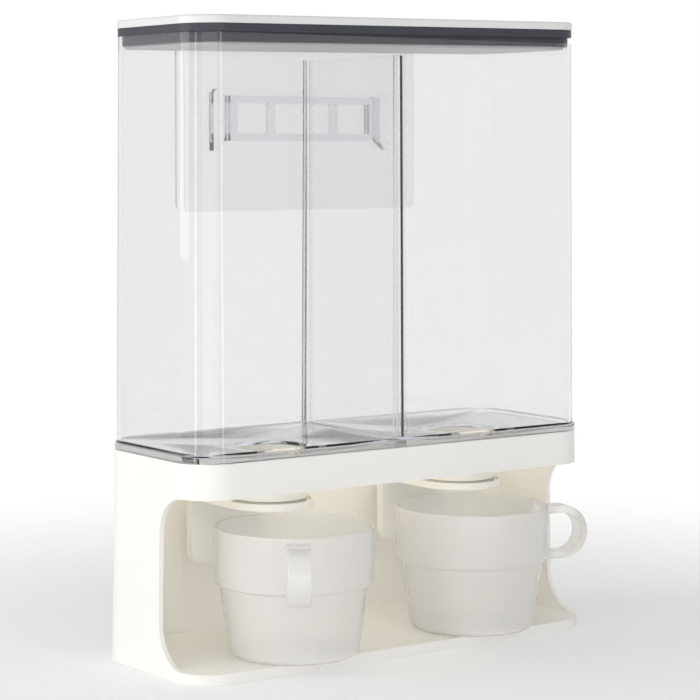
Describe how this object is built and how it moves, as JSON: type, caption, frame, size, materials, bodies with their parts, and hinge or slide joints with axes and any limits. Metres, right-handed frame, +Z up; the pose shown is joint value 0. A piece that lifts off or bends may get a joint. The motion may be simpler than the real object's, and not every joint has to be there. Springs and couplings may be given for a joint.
{
  "type": "twin cereal dispenser",
  "caption": "Clear dry-food container with a middle divider and sealed lid on a white base, where push levers open gates over stacking cups.",
  "frame": {"origin": "on the table under the middle of the base, at the plane the foot pads rest on", "axes": "+X to the right seen from the front, +Y back towards the wall, +Z up"},
  "size_m": [0.274, 0.1469, 0.3525],
  "materials": {
    "white_abs": "satin moulded white ABS",
    "lid_white": "satin moulded white",
    "clear_plastic": "clear gloss plastic",
    "sheet_clear": "clear film with a faint grey cast",
    "cup_plastic": "milky translucent polypropylene",
    "gasket_silicone": "slate silicone, soft matt",
    "seal_silicone": "pale grey silicone",
    "pad_rubber": "grey rubber",
    "liner_plastic": "pale grey plastic",
    "steel": "bright steel"
  },
  "bodies": {
    "base": {"base_housing": "white_abs", "foot_pads": "pad_rubber", "wall_buffers": "pad_rubber", "funnel_screws": "steel", "pin_clips": "steel", "pivot_pin_left": "steel", "pivot_pin_right": "steel", "torsion_spring_left": "steel", "torsion_spring_right": "steel", "outlet_funnel_left": "white_abs", "outlet_funnel_right": "white_abs", "outlet_seal_left": "seal_silicone", "outlet_seal_right": "seal_silicone"},
    "container": {"container_shell": "clear_plastic", "divider_panel": "clear_plastic", "hanger_frame": "clear_plastic"},
    "lid": {"lid_cap": "lid_white", "lid_gasket": "gasket_silicone", "lid_liner": "liner_plastic"},
    "lever_left": {"push_lever_left": "white_abs", "gate_seal_left": "seal_silicone"},
    "lever_right": {"push_lever_right": "white_abs", "gate_seal_right": "seal_silicone"},
    "cup_left": {"cup_left": "cup_plastic"},
    "cup_right": {"cup_right": "cup_plastic"},
    "wall_hook": {"hook_plate": "clear_plastic", "adhesive_sheet": "sheet_clear"}
  },
  "joints": [
    {"name": "container_lift", "type": "slide", "parent": "base", "child": "container", "axis": [0, 0, 1], "range_m": [0, 0.08]},
    {"name": "lid_lift", "type": "slide", "parent": "container", "child": "lid", "axis": [0, 0, 1], "range_m": [0, 0.06]},
    {"name": "lever_left_push", "type": "hinge", "parent": "base", "child": "lever_left", "pos_m": [-0.066, 0.027, 0.094], "axis": [1, 0, 0], "range_deg": [0, 14], "stiffness_Nm_per_rad": 0.06, "springref_deg": -20.05, "deforming": ["torsion_spring_left"]},
    {"name": "lever_right_push", "type": "hinge", "parent": "base", "child": "lever_right", "pos_m": [0.066, 0.027, 0.094], "axis": [1, 0, 0], "range_deg": [0, 14], "stiffness_Nm_per_rad": 0.06, "springref_deg": -20.05, "deforming": ["torsion_spring_right"]},
    {"name": "cup_left_pull", "type": "slide", "parent": "base", "child": "cup_left", "axis": [0, -1, 0], "range_m": [0, 0.12]},
    {"name": "cup_right_pull", "type": "slide", "parent": "base", "child": "cup_right", "axis": [0, -1, 0], "range_m": [0, 0.12]},
    {"name": "hook_slide", "type": "slide", "parent": "container", "child": "wall_hook", "axis": [0, 0, -1], "range_m": [0, 0.04]}
  ]
}
